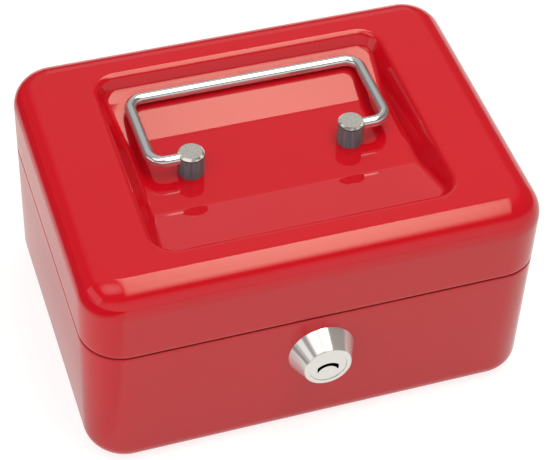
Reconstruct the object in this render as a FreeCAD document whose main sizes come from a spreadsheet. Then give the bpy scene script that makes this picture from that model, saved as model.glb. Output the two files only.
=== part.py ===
import FreeCAD, Part
import os
import Sketcher

# Small lockable cash box of drawn sheet steel with a hinged lid, a folding wire
# handle in a recess of the lid, a cylinder lock and a lift-out coin tray.
# Millimetres. Origin at the middle of the underside, +X to the right, -Y to the front, +Z up.

Vector = FreeCAD.Vector
Rotation = FreeCAD.Rotation
TO_BACK = Rotation(Vector(1, 0, 0), -90)
TO_FRONT = Rotation(Vector(1, 0, 0), 90)
TO_RIGHT = Rotation(Vector(0, 1, 0), 90)
UPRIGHT = Rotation()
NEAR = 1e-4
SIDES = (("left", "-"), ("right", ""))

SIZES = {
    # Drawn shells
    "box_width": 152.0,
    "box_depth": 114.0,
    "box_height": 80.0,
    "seam_height": 52.6,
    "seam_gap": 0.6,
    "corner_radius": 14.0,
    "lid_edge_radius": 10.0,
    "base_edge_radius": 7.0,
    "sheet_gauge": 0.8,
    "rim_height": 5.0,
    "rim_clearance": 1.5,
    # Handle recess in the lid
    "recess_width": 104.0,
    "recess_length": 85.6,
    "recess_sink": 9.6,
    "recess_corner_radius": 10.0,
    "recess_wall_slope": 28.0,
    "recess_lip_radius": 3.0,
    "recess_floor_radius": 2.5,
    "recess_flat_length": 32.6,
    "recess_ramp_slope": 12.0,
    "recess_fold_radius": 10.0,
    # Folding wire handle and its posts
    "wire_diameter": 3.8,
    "handle_leg_spacing": 80.6,
    "handle_reach": 31.9,
    "handle_bend_radius": 5.0,
    "handle_rest_gap": 0.3,
    "post_inset": 13.0,
    "post_diameter": 8.8,
    "post_height": 8.8,
    "post_bevel": 0.8,
    "pivot_height": 6.3,
    "pivot_clearance": 0.1,
    "wire_insert": 4.4,
    "wire_end_gap": 0.3,
    "post_screw_diameter": 4.0,
    "post_screw_grip": 3.0,
    "post_screw_head_diameter": 7.6,
    "post_screw_head_height": 2.4,
    "thread_clearance": 0.05,
    "screw_hole_clearance": 0.2,
    "post_washer_diameter": 9.0,
    "post_washer_gauge": 0.8,
    # Cylinder lock
    "lock_height": 36.0,
    "lock_head_diameter": 22.0,
    "lock_face_diameter": 15.6,
    "lock_head_height": 7.2,
    "lock_head_round": 0.7,
    "lock_barrel_diameter": 18.0,
    "lock_barrel_flats": 15.0,
    "lock_barrel_length": 9.5,
    "lock_hole_clearance": 0.15,
    "plug_face_diameter": 12.4,
    "plug_face_depth": 2.0,
    "plug_set_in": 0.2,
    "plug_body_diameter": 10.8,
    "plug_clearance": 0.05,
    "plug_drive_width": 6.0,
    "keyway_width": 7.2,
    "keyway_gap": 1.5,
    "keyway_rise": 1.9,
    "keyway_depth": 12.0,
    "lock_washer_diameter": 24.0,
    "lock_washer_gauge": 0.8,
    "lock_nut_flats": 23.0,
    "lock_nut_height": 4.0,
    "cam_running_gap": 0.2,
    "cam_gauge": 2.0,
    "cam_hub_diameter": 14.0,
    "cam_arm_width": 8.0,
    "cam_reach": 17.0,
    "cam_finger_length": 7.0,
    "cam_finger_width": 4.0,
    "cam_screw_diameter": 3.0,
    "cam_screw_grip": 3.0,
    "cam_screw_head_diameter": 7.0,
    "cam_screw_head_height": 2.2,
    "cam_washer_diameter": 9.0,
    "cam_washer_gauge": 0.8,
    # Strike under the front of the lid
    "strike_gauge": 1.5,
    "strike_clearance": 0.4,
    "strike_strip_width": 4.2,
    "strike_lip_height": 3.0,
    "strike_right_reach": 9.0,
    "strike_rim_clearance": 1.0,
    "strike_flange_share": 0.7,
    # Piano hinge along the back
    "hinge_end_clearance": 2.0,
    "hinge_knuckles": 9,
    "hinge_leaf_gauge": 0.7,
    "hinge_leaf_share": 0.74,
    "hinge_pin_diameter": 1.6,
    "hinge_pin_clearance": 0.05,
    "knuckle_gap": 0.3,
    "barrel_set_in": 0.05,
    "lid_open_angle": 98.0,
    "hinge_stop_margin": 1.5,
    # Coin tray
    "tray_wall": 1.5,
    "tray_drop": 24.0,
    "tray_flange_gauge": 1.5,
    "tray_flange_set_in": 0.3,
    "tray_flange_length": 72.0,
    "tray_flange_round": 2.0,
    "tray_side_clearance": 2.0,
    "tray_lock_clearance": 3.0,
    "tray_middle_width": 44.0,
    "tray_split": -4.0,
    "tray_scoop_radius": 5.0,
    "tray_bottom_radius": 4.0,
    # How far a cutter stands out past what it cuts
    "cut_overshoot": 1.0,
}

doc = FreeCAD.newDocument("cash_box")
sheet = doc.addObject("Spreadsheet::Sheet", "sizes")
for row, (alias, value) in enumerate(SIZES.items(), start=1):
    sheet.set(f"A{row}", str(value))
    sheet.setAlias(f"A{row}", alias)
doc.recompute()


def size(alias):
    """The sheet's own name for one driving size."""
    return f"sizes.{alias}"


def value_of(expression):
    """The number that an expression of sheet sizes comes to."""
    result = sheet.evalExpression(str(expression))
    return float(getattr(result, "Value", result))


# Levels and places worked out from the driving sizes
HALF_WIDTH = "(sizes.box_width / 2)"
HALF_DEPTH = "(sizes.box_depth / 2)"
BACK_INNER = "(sizes.box_depth / 2 - sizes.sheet_gauge)"
LID_EDGE = "(sizes.seam_height + sizes.seam_gap / 2)"
SHOULDER = "(sizes.seam_height - sizes.seam_gap / 2)"
RIM_TOP = "(sizes.seam_height + sizes.rim_height)"
RIM_INSET = "(sizes.sheet_gauge + sizes.rim_clearance)"
FLOOR_TOP = "(sizes.box_height - sizes.recess_sink)"
RAMP_FOLD = "(sizes.recess_flat_length / 2)"
RAMP_END = "(sizes.recess_length / 2)"
RAMP_TOP = f"({FLOOR_TOP} + ({RAMP_END} - {RAMP_FOLD}) * tan(sizes.recess_ramp_slope))"
FLOOR_UNDER = f"({FLOOR_TOP} - sizes.sheet_gauge)"
PIVOT_LEVEL = f"({FLOOR_TOP} + sizes.pivot_height)"
LIP_TANGENT = "(sizes.recess_lip_radius * tan(45 - sizes.recess_wall_slope / 2))"
BARREL_RADIUS = "(sizes.hinge_pin_diameter / 2 + sizes.hinge_pin_clearance + sizes.hinge_leaf_gauge)"
HINGE_LENGTH = "(sizes.box_width - 2 * (sizes.corner_radius + sizes.hinge_end_clearance))"
LID_WALL_TOP = "(sizes.box_height - sizes.lid_edge_radius)"
AXIS_DEPTH = f"({BARREL_RADIUS} + sizes.barrel_set_in)"
AXIS_BACK = f"({HALF_DEPTH} - {AXIS_DEPTH})"
HINGE_OPENING = f"({AXIS_DEPTH} * tan((sizes.lid_open_angle + sizes.hinge_stop_margin) / 2))"
CORNER_RUN = f"sqrt(sizes.corner_radius ^ 2 - (sizes.corner_radius - {AXIS_DEPTH}) ^ 2)"
NOTCH_HALF = f"({HALF_WIDTH} - sizes.corner_radius + {CORNER_RUN} + sizes.seam_gap)"
NOTCH_FRONT = f"({AXIS_BACK} - {BARREL_RADIUS} - sizes.knuckle_gap)"
CAM_FRONT = f"(-{HALF_DEPTH} + sizes.lock_barrel_length + sizes.cam_running_gap)"
CAM_BACK = f"({CAM_FRONT} + sizes.cam_gauge)"
POST_RADIUS = "(sizes.post_diameter / 2)"
POST_PLACE = "(sizes.handle_leg_spacing / 2 - sizes.post_inset)"
OVER = "sizes.cut_overshoot"


def box(name, low, high):
    """A block between two corners given as expressions."""
    block = doc.addObject("Part::Box", name)
    for side, start, end in zip(("Length", "Width", "Height"), low, high):
        block.setExpression(side, f"({end}) - ({start})")
    for axis, start in zip("xyz", low):
        block.setExpression(f"Placement.Base.{axis}", str(start))
    return block


def place(thing, foot, turn):
    """Stands a primitive on its foot point, turned to its axis."""
    thing.Placement = FreeCAD.Placement(Vector(), turn)
    for axis, start in zip("xyz", foot):
        thing.setExpression(f"Placement.Base.{axis}", str(start))
    return thing


def cylinder(name, radius, height, foot, turn=UPRIGHT):
    """A round bar from its foot point along the turned axis."""
    bar = doc.addObject("Part::Cylinder", name)
    bar.setExpression("Radius", str(radius))
    bar.setExpression("Height", str(height))
    return place(bar, foot, turn)


def cut(name, base, *tools):
    """One piece with the tools taken out of it, one after another."""
    for index, tool in enumerate(tools):
        result = doc.addObject("Part::Cut", f"{name}_{index}" if index < len(tools) - 1 else name)
        result.Base = base
        result.Tool = tool
        base = result
    return base


def fuse(name, *shapes):
    """Several forms joined in one solid, with no seams between flush faces."""
    joined = doc.addObject("Part::MultiFuse", name)
    joined.Shapes = list(shapes)
    joined.Refine = True
    return joined


def group(name, *shapes):
    """Identical separate solids in one node."""
    together = doc.addObject("Part::Compound", name)
    together.Links = list(shapes)
    return together


def edge_names(shape, wanted):
    """Names of the edges whose bounding box passes the test."""
    return [f"Edge{i}" for i, edge in enumerate(shape.Edges, start=1) if wanted(edge.BoundBox)]


def eased(kind, name, base, amount, wanted):
    """A piece with the wanted edges rounded or bevelled by a sheet size."""
    doc.recompute()
    soft = doc.addObject(kind, name)
    soft.Base = base
    reach = value_of(amount)
    soft.Edges = [(int(edge[4:]), reach, reach) for edge in edge_names(base.Shape, wanted)]
    return soft


def upright_edge(limits):
    """True for an edge that runs straight up."""
    return limits.XLength < NEAR and limits.YLength < NEAR


def level_edge(level):
    """A test for edges that lie flat at one height."""
    height = value_of(level)
    return lambda limits: abs(limits.ZMin - height) < NEAR and abs(limits.ZMax - height) < NEAR


def origin_plane(body, role):
    """One of a body's own origin planes."""
    return next(feature for feature in body.Origin.OriginFeatures if feature.Role == role)


def new_sketch(body, name, role, lift="0"):
    """An empty sketch on an origin plane, raised along its normal."""
    sketch = body.newObject("Sketcher::SketchObject", name)
    sketch.AttachmentSupport = [(origin_plane(body, role), "")]
    sketch.MapMode = "FlatFace"
    sketch.setExpression("AttachmentOffset.Base.z", lift)
    return sketch


def bind(sketch, kind, places, expression):
    """A dimension of a sketch that follows the sheet."""
    index = sketch.addConstraint(Sketcher.Constraint(kind, *places, value_of(expression)))
    sketch.setExpression(f"Constraints[{index}]", expression)


def rounded_rectangle(body, name, width, depth, radius, lift):
    """A centred rectangle with tangent corner arcs, four lines and four arcs in turn."""
    sketch = new_sketch(body, name, "XY_Plane", lift)
    half_x = value_of(width) / 2
    half_y = value_of(depth) / 2
    bend = value_of(radius)
    in_x = half_x - bend
    in_y = half_y - bend
    runs = [
        (Vector(-in_x, -half_y), Vector(in_x, -half_y), Vector(in_x, -in_y)),
        (Vector(half_x, -in_y), Vector(half_x, in_y), Vector(in_x, in_y)),
        (Vector(in_x, half_y), Vector(-in_x, half_y), Vector(-in_x, in_y)),
        (Vector(-half_x, in_y), Vector(-half_x, -in_y), Vector(-in_x, -in_y)),
    ]
    quarter = FreeCAD.Units.Quantity("90 deg").getValueAs("rad").Value
    for corner, (start, end, centre) in enumerate(runs):
        sketch.addGeometry(Part.LineSegment(start, end), False)
        circle = Part.Circle(centre, Vector(0, 0, 1), bend)
        sketch.addGeometry(Part.ArcOfCircle(circle, (corner - 1) * quarter, corner * quarter), False)
    for corner in range(4):
        line = 2 * corner
        following = (line + 2) % 8
        sketch.addConstraint(Sketcher.Constraint("Tangent", line, 2, line + 1, 1))
        sketch.addConstraint(Sketcher.Constraint("Tangent", line + 1, 2, following, 1))
        sketch.addConstraint(Sketcher.Constraint("Vertical" if corner % 2 else "Horizontal", line))
    for arc in (3, 5, 7):
        sketch.addConstraint(Sketcher.Constraint("Equal", 1, arc))
    sketch.addConstraint(Sketcher.Constraint("Symmetric", 1, 3, 5, 3, -1, 1))
    bind(sketch, "Radius", (1,), radius)
    bind(sketch, "DistanceX", (6, 1, 2, 1), width)
    bind(sketch, "DistanceY", (0, 1, 4, 1), depth)
    return sketch


def pad(body, name, sketch, length):
    """A sketch raised to a solid."""
    raised = body.newObject("PartDesign::Pad", name)
    raised.Profile = sketch
    raised.setExpression("Length", length)
    doc.recompute()
    return raised


def fillet(body, name, base, wanted, radius):
    """Rounded edges of a body's feature."""
    rounded = body.newObject("PartDesign::Fillet", name)
    rounded.Base = (base, edge_names(base.Shape, wanted))
    rounded.setExpression("Radius", radius)
    doc.recompute()
    return rounded


def hollow(body, name, base, level):
    """A solid drawn out to sheet, open at the face on the given level."""
    height = value_of(level)
    faces = enumerate(base.Shape.Faces, start=1)
    limits = [(f"Face{number}", face.BoundBox) for number, face in faces]
    mouth = [label for label, reach in limits if abs(reach.ZMin - height) + reach.ZLength < NEAR]
    shell = body.newObject("PartDesign::Thickness", name)
    shell.Base = (base, mouth)
    shell.setExpression("Value", size("sheet_gauge"))
    doc.recompute()
    return shell


def lock_bore(name, clearance, start, length):
    """A round bar with two flats, along the lock's axis."""
    radius = f"sizes.lock_barrel_diameter / 2 + {clearance}"
    flat = f"(sizes.lock_barrel_flats / 2 + {clearance})"
    foot = ("0", start, size("lock_height"))
    bar = cylinder(f"{name}_round", radius, length, foot, TO_BACK)
    low = (f"-{flat}", start, f"sizes.lock_height - ({radius})")
    high = (flat, f"({start}) + ({length})", f"sizes.lock_height + ({radius})")
    both = doc.addObject("Part::MultiCommon", name)
    both.Shapes = [bar, box(f"{name}_flats", low, high)]
    return both


def inset_outline(inset):
    """Width, depth and corner radius of the box outline moved inwards."""
    width = f"sizes.box_width - 2 * {inset}"
    depth = f"sizes.box_depth - 2 * {inset}"
    return (width, depth, f"sizes.corner_radius - {inset}")


def make_base_shell():
    """Drawn base: joggled rim inside the lid, lock hole in front, hinge gap along the back."""
    outside = doc.addObject("PartDesign::Body", "base_outside")
    inside = doc.addObject("PartDesign::Body", "base_inside")
    rim_in = {outside: RIM_INSET, inside: f"({RIM_INSET} + sizes.sheet_gauge)"}
    for body, wall_in in ((outside, "0"), (inside, size("sheet_gauge"))):
        name = body.Name
        wall = rounded_rectangle(body, f"{name}_wall", *inset_outline(wall_in), wall_in)
        block = pad(body, f"{name}_block", wall, f"{SHOULDER} - 2 * {wall_in}")
        fillet(body, f"{name}_foot", block, level_edge(wall_in), f"sizes.base_edge_radius - {wall_in}")
        rim = rounded_rectangle(body, f"{name}_rim", *inset_outline(rim_in[body]), f"{SHOULDER} - {wall_in}")
        pad(body, f"{name}_neck", rim, f"{RIM_TOP} - {SHOULDER} + 2 * {wall_in}")
    hole_run = f"sizes.sheet_gauge + 2 * {OVER}"
    hole = lock_bore("lock_hole", size("lock_hole_clearance"), f"-{HALF_DEPTH} - {OVER}", hole_run)
    low = (f"-{NOTCH_HALF}", NOTCH_FRONT, f"sizes.seam_height - {HINGE_OPENING}")
    high = (NOTCH_HALF, f"{HALF_DEPTH} + {OVER}", f"{RIM_TOP} + {OVER}")
    return cut("base_shell", outside, inside, hole, box("base_hinge_gap", low, high))


def add_ramp(body, name, way):
    """A wedge on the recess floor, rising from its fold to the front or the back wall."""
    profile = new_sketch(body, f"{name}_profile", "YZ_Plane")
    fold = Vector(way * value_of(RAMP_FOLD), value_of(FLOOR_TOP))
    foot = Vector(way * value_of(RAMP_END), fold.y)
    crest = Vector(foot.x, value_of(RAMP_TOP))
    corners = (fold, foot, crest)
    for number, corner in enumerate(corners):
        profile.addGeometry(Part.LineSegment(corner, corners[(number + 1) % 3]), False)
    for number in range(3):
        profile.addConstraint(Sketcher.Constraint("Coincident", number, 2, (number + 1) % 3, 1))
    profile.addConstraint(Sketcher.Constraint("Horizontal", 0))
    profile.addConstraint(Sketcher.Constraint("Vertical", 1))
    to_fold = (-1, 1, 0, 1) if way > 0 else (0, 1, -1, 1)
    to_foot = (-1, 1, 1, 1) if way > 0 else (1, 1, -1, 1)
    bind(profile, "DistanceX", to_fold, RAMP_FOLD)
    bind(profile, "DistanceX", to_foot, RAMP_END)
    bind(profile, "DistanceY", (-1, 1, 0, 1), FLOOR_TOP)
    bind(profile, "DistanceY", (-1, 1, 2, 1), RAMP_TOP)
    wedge = body.newObject("PartDesign::Pad", name)
    wedge.Profile = profile
    wedge.Midplane = True
    wedge.setExpression("Length", f"sizes.recess_width - 2 * {LIP_TANGENT}")
    doc.recompute()
    return wedge


def make_lid_shell():
    """Drawn lid: broad edge radius, handle recess with two ramps, screw holes, hinge gap along the back."""
    body = doc.addObject("PartDesign::Body", "lid_drawing")
    outline = rounded_rectangle(
        body, "lid_outline", size("box_width"), size("box_depth"), size("corner_radius"), LID_EDGE)
    block = pad(body, "lid_block", outline, f"sizes.box_height - {LID_EDGE}")
    top = level_edge(size("box_height"))
    block = fillet(body, "lid_top_round", block, top, size("lid_edge_radius"))
    sharp_width = f"sizes.recess_width - 2 * {LIP_TANGENT}"
    sharp_length = f"sizes.recess_length - 2 * {LIP_TANGENT}"
    sharp_corner = f"sizes.recess_corner_radius - {LIP_TANGENT}"
    mouth = rounded_rectangle(
        body, "recess_outline", sharp_width, sharp_length, sharp_corner, size("box_height"))
    recess = body.newObject("PartDesign::Pocket", "handle_recess")
    recess.Profile = mouth
    recess.setExpression("Length", size("recess_sink"))
    recess.setExpression("TaperAngle", f"-{size('recess_wall_slope')}")
    doc.recompute()
    recess_half = value_of("sizes.recess_width / 2")
    floor_level = value_of(FLOOR_TOP)
    ramp_level = value_of(RAMP_TOP)
    fold_place = value_of(RAMP_FOLD)
    fold_zone = fold_place + value_of(size("recess_fold_radius"))

    def recess_lip(limits):
        return top(limits) and limits.XMax < recess_half and limits.XMin > -recess_half

    def fold_line(limits):
        level = limits.YLength < NEAR and abs(limits.ZMin - floor_level) + limits.ZLength < NEAR
        return level and abs(abs(limits.YMin) - fold_place) < NEAR

    def floor_edge(limits):
        inside = limits.ZMin > floor_level - NEAR and limits.ZMax < ramp_level
        across = limits.YLength < NEAR and abs(limits.YMin) < fold_zone
        return inside and not across and limits.XMax < recess_half and limits.XMin > -recess_half

    add_ramp(body, "recess_ramp_front", -1)
    ramps = add_ramp(body, "recess_ramp_back", 1)
    block = fillet(body, "recess_fold_round", ramps, fold_line, size("recess_fold_radius"))
    block = fillet(body, "recess_floor_round", block, floor_edge, size("recess_floor_radius"))
    block = fillet(body, "recess_lip_round", block, recess_lip, size("recess_lip_radius"))
    hollow(body, "lid_sheet", block, LID_EDGE)
    hole_radius = "sizes.post_screw_diameter / 2 + sizes.screw_hole_clearance"
    holes = [
        cylinder(f"lid_screw_hole_{side}", hole_radius, f"sizes.sheet_gauge + 2 * {OVER}",
                 (f"{sign}{POST_PLACE}", "0", f"{FLOOR_UNDER} - {OVER}"))
        for side, sign in SIDES
    ]
    low = (f"-{NOTCH_HALF}", NOTCH_FRONT, f"{LID_EDGE} - {OVER}")
    high = (NOTCH_HALF, f"{HALF_DEPTH} + {OVER}", f"sizes.seam_height + {HINGE_OPENING}")
    return cut("lid_shell", body, *holes, box("lid_hinge_gap", low, high))


def make_handle():
    """Bent wire handle, drawn flat in its own plane and laid down until the bar meets the back ramp."""
    body = doc.addObject("PartDesign::Body", "carry_handle")
    wire_end = f"({POST_PLACE} + {POST_RADIUS} - sizes.wire_insert)"
    leg_place = "sizes.handle_leg_spacing / 2"
    inner = value_of(wire_end)
    leg = value_of(leg_place)
    reach = value_of(size("handle_reach"))
    bend = value_of(size("handle_bend_radius"))
    path = new_sketch(body, "handle_path", "XY_Plane")
    corners = [Vector(inner, 0), Vector(leg, 0), Vector(leg, reach),
               Vector(-leg, reach), Vector(-leg, 0), Vector(-inner, 0)]
    last_run = len(corners) - 2
    for number in range(last_run + 1):
        first = corners[number]
        second = corners[number + 1]
        along = (second - first).normalize()
        begin = first if number == 0 else first + along * bend
        end = second if number == last_run else second - along * bend
        path.addGeometry(Part.LineSegment(begin, end), False)
        if number < last_run:
            after = (corners[number + 2] - second).normalize()
            middle = second + (after - along) * bend * (1 - 0.5 ** 0.5)
            path.addGeometry(Part.Arc(end, middle, second + after * bend), False)
    arcs = range(1, 2 * last_run, 2)
    for arc in arcs:
        path.addConstraint(Sketcher.Constraint("Tangent", arc - 1, 2, arc, 1))
        path.addConstraint(Sketcher.Constraint("Tangent", arc, 2, arc + 1, 1))
    for arc in arcs[1:]:
        path.addConstraint(Sketcher.Constraint("Equal", arcs[0], arc))
    for run in range(last_run + 1):
        path.addConstraint(Sketcher.Constraint("Vertical" if run % 2 else "Horizontal", 2 * run))
    path.addConstraint(Sketcher.Constraint("PointOnObject", 0, 1, -1))
    path.addConstraint(Sketcher.Constraint("PointOnObject", 2 * last_run, 2, -1))
    bind(path, "Radius", (arcs[0],), size("handle_bend_radius"))
    bind(path, "DistanceX", (-1, 1, 0, 1), wire_end)
    bind(path, "DistanceX", (2 * last_run, 2, -1, 1), wire_end)
    bind(path, "DistanceX", (-1, 1, 2, 1), leg_place)
    bind(path, "DistanceX", (6, 1, -1, 1), leg_place)
    bind(path, "DistanceY", (-1, 1, 4, 1), size("handle_reach"))
    section = new_sketch(body, "handle_section", "YZ_Plane", wire_end)
    section.addGeometry(Part.Circle(Vector(), Vector(0, 0, 1), value_of("sizes.wire_diameter / 2")), False)
    section.addConstraint(Sketcher.Constraint("Coincident", 0, 3, -1, 1))
    bind(section, "Radius", (0,), "sizes.wire_diameter / 2")
    doc.recompute()
    wire = body.newObject("PartDesign::AdditivePipe", "handle_wire")
    wire.Profile = section
    wire.Spine = (path, [f"Edge{i}" for i in range(1, 2 * last_run + 2)])
    body.Placement = FreeCAD.Placement(Vector(), Rotation(Vector(-1, 0, 0), 1))
    slope = size("recess_ramp_slope")
    pivot_to_ramp = f"sizes.pivot_height * cos({slope}) + {RAMP_FOLD} * sin({slope})"
    drop = f"{pivot_to_ramp} - sizes.wire_diameter / 2 - sizes.handle_rest_gap"
    body.setExpression("Placement.Base.z", PIVOT_LEVEL)
    body.setExpression("Placement.Rotation.Angle", f"asin(({drop}) / sizes.handle_reach) - {slope} * 1 deg")
    return body


def make_post(side, sign):
    """Turned post with a bevelled top, a cross hole for the wire and a thread from below."""
    middle = f"{sign}{POST_PLACE}"
    turned = cylinder(f"post_bar_{side}", POST_RADIUS, size("post_height"), (middle, "0", FLOOR_TOP))
    top = level_edge(f"{FLOOR_TOP} + sizes.post_height")
    turned = eased("Part::Chamfer", f"post_turned_{side}", turned, size("post_bevel"), top)
    hole_radius = "sizes.wire_diameter / 2 + sizes.pivot_clearance"
    hole_depth = "(sizes.wire_insert + sizes.wire_end_gap)"
    hole_start = f"{POST_PLACE} + {POST_RADIUS} - {hole_depth}"
    if sign:
        hole_start = f"-{POST_PLACE} - {POST_RADIUS} - {OVER}"
    hole = cylinder(f"post_cross_hole_{side}", hole_radius, f"{hole_depth} + {OVER}",
                    (hole_start, "0", PIVOT_LEVEL), TO_RIGHT)
    thread_radius = "sizes.post_screw_diameter / 2 + sizes.thread_clearance"
    thread_run = f"sizes.post_screw_grip + sizes.thread_clearance + {OVER}"
    thread_foot = (middle, "0", f"{FLOOR_TOP} - {OVER}")
    thread = cylinder(f"post_thread_{side}", thread_radius, thread_run, thread_foot)
    return cut(f"handle_post_{side}", turned, hole, thread)


def make_post_fixings():
    """Washers and pan-head screws that hold the posts from under the lid."""
    washers = []
    screws = []
    washer_under = f"({FLOOR_UNDER} - sizes.post_washer_gauge)"
    hole_radius = "sizes.post_screw_diameter / 2 + sizes.screw_hole_clearance"
    for side, sign in SIDES:
        foot = (f"{sign}{POST_PLACE}", "0", washer_under)
        gauge = size("post_washer_gauge")
        disc = cylinder(f"post_washer_disc_{side}", "sizes.post_washer_diameter / 2", gauge, foot)
        hole = cylinder(f"post_washer_hole_{side}", hole_radius, gauge, foot)
        washers.append(cut(f"post_washer_{side}", disc, hole))
        shank_length = f"{FLOOR_TOP} + sizes.post_screw_grip - {washer_under}"
        shank = cylinder(f"post_screw_shank_{side}", "sizes.post_screw_diameter / 2", shank_length, foot)
        head_foot = foot[:2] + (f"{washer_under} - sizes.post_screw_head_height",)
        head = cylinder(f"post_screw_pan_{side}", "sizes.post_screw_head_diameter / 2",
                        size("post_screw_head_height"), head_foot)
        rim = level_edge(head_foot[2])
        head = eased("Part::Chamfer", f"post_screw_head_{side}", head, "sizes.post_screw_head_height / 3", rim)
        screws.append(fuse(f"post_screw_{side}", shank, head))
    return [group("post_washers", *washers), group("post_screws", *screws)]


def make_lock_housing():
    """Cone-shaped lock head outside the wall and a flatted barrel through it."""
    foot = ("0", f"-{HALF_DEPTH}", size("lock_height"))
    cone = doc.addObject("Part::Cone", "lock_cone")
    cone.setExpression("Radius1", "sizes.lock_head_diameter / 2")
    cone.setExpression("Radius2", "sizes.lock_face_diameter / 2")
    cone.setExpression("Height", size("lock_head_height"))
    place(cone, foot, TO_FRONT)
    face = value_of(f"-{HALF_DEPTH} - sizes.lock_head_height")

    def face_rim(limits):
        return abs(limits.YMin - face) < NEAR and abs(limits.YMax - face) < NEAR

    head = eased("Part::Fillet", "lock_head", cone, size("lock_head_round"), face_rim)
    barrel = lock_bore("lock_barrel", "0", foot[1], size("lock_barrel_length"))
    front = f"-{HALF_DEPTH} - sizes.lock_head_height"
    recess = cylinder("plug_face_bore", "sizes.plug_face_diameter / 2 + sizes.plug_clearance",
                      "sizes.plug_set_in + sizes.plug_face_depth", ("0", front, foot[2]), TO_BACK)
    bore = cylinder("plug_body_bore", "sizes.plug_body_diameter / 2 + sizes.plug_clearance",
                    "sizes.lock_head_height + sizes.lock_barrel_length", ("0", front, foot[2]), TO_BACK)
    return cut("lock_housing", fuse("lock_body", head, barrel), recess, bore)


def make_lock_plug():
    """Turning plug with an arched keyway, a square drive for the cam and a thread in its end."""
    level = size("lock_height")
    front = f"(-{HALF_DEPTH} - sizes.lock_head_height + sizes.plug_set_in)"
    end = f"(-{HALF_DEPTH} + sizes.lock_barrel_length)"
    foot = ("0", front, level)
    face = cylinder("plug_face", "sizes.plug_face_diameter / 2", size("plug_face_depth"), foot, TO_BACK)
    stem = cylinder("plug_stem", "sizes.plug_body_diameter / 2", f"{end} - {front}", foot, TO_BACK)
    half = "(sizes.plug_drive_width / 2)"
    drive = box("plug_drive", (f"-{half}", end, f"{level} - {half}"), (half, CAM_BACK, f"{level} + {half}"))
    arch = "((sizes.keyway_width ^ 2 / 4 + sizes.keyway_rise ^ 2) / (2 * sizes.keyway_rise))"
    arch_level = f"{level} + sizes.keyway_rise / 2 - {arch}"
    key_foot = ("0", f"{front} - {OVER}", arch_level)
    key_run = f"sizes.keyway_depth + {OVER}"
    outer = cylinder("keyway_outer", f"{arch} + sizes.keyway_gap / 2", key_run, key_foot, TO_BACK)
    core = cylinder("keyway_core", f"{arch} - sizes.keyway_gap / 2", key_run, key_foot, TO_BACK)
    low = ("-sizes.keyway_width / 2", f"{front} - {OVER}", f"{level} - sizes.keyway_rise")
    high = ("sizes.keyway_width / 2", f"{front} + sizes.keyway_depth", f"{level} + 2 * sizes.keyway_rise")
    keyway = doc.addObject("Part::MultiCommon", "keyway")
    keyway.Shapes = [cut("keyway_arch", outer, core), box("keyway_ends", low, high)]
    thread = cylinder("plug_thread", "sizes.cam_screw_diameter / 2 + sizes.thread_clearance",
                      f"sizes.cam_screw_grip + sizes.thread_clearance + {OVER}",
                      ("0", f"{CAM_BACK} - sizes.cam_screw_grip - sizes.thread_clearance", level), TO_BACK)
    return cut("lock_plug", fuse("plug_turned", face, stem, drive), keyway, thread)


def make_lock_fixings():
    """Plain washer and hexagon nut on the lock barrel, behind the front wall."""
    level = size("lock_height")
    wall = f"(-{HALF_DEPTH} + sizes.sheet_gauge)"
    washer_back = f"({wall} + sizes.lock_washer_gauge)"
    bore_radius = "sizes.lock_barrel_diameter / 2 + sizes.lock_hole_clearance"
    disc = cylinder("lock_washer_disc", "sizes.lock_washer_diameter / 2", size("lock_washer_gauge"),
                    ("0", wall, level), TO_BACK)
    hole = cylinder("lock_washer_hole", bore_radius, size("lock_washer_gauge"), ("0", wall, level), TO_BACK)
    hexagon = doc.addObject("Part::Prism", "lock_nut_hexagon")
    hexagon.Polygon = 6
    hexagon.setExpression("Circumradius", "sizes.lock_nut_flats / 2 / cos(30)")
    hexagon.setExpression("Height", size("lock_nut_height"))
    place(hexagon, ("0", washer_back, level), TO_BACK)
    thread = cylinder("lock_nut_thread", "sizes.lock_barrel_diameter / 2 + sizes.thread_clearance",
                      size("lock_nut_height"), ("0", washer_back, level), TO_BACK)
    return [cut("lock_washer", disc, hole), cut("lock_nut", hexagon, thread)]


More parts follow.
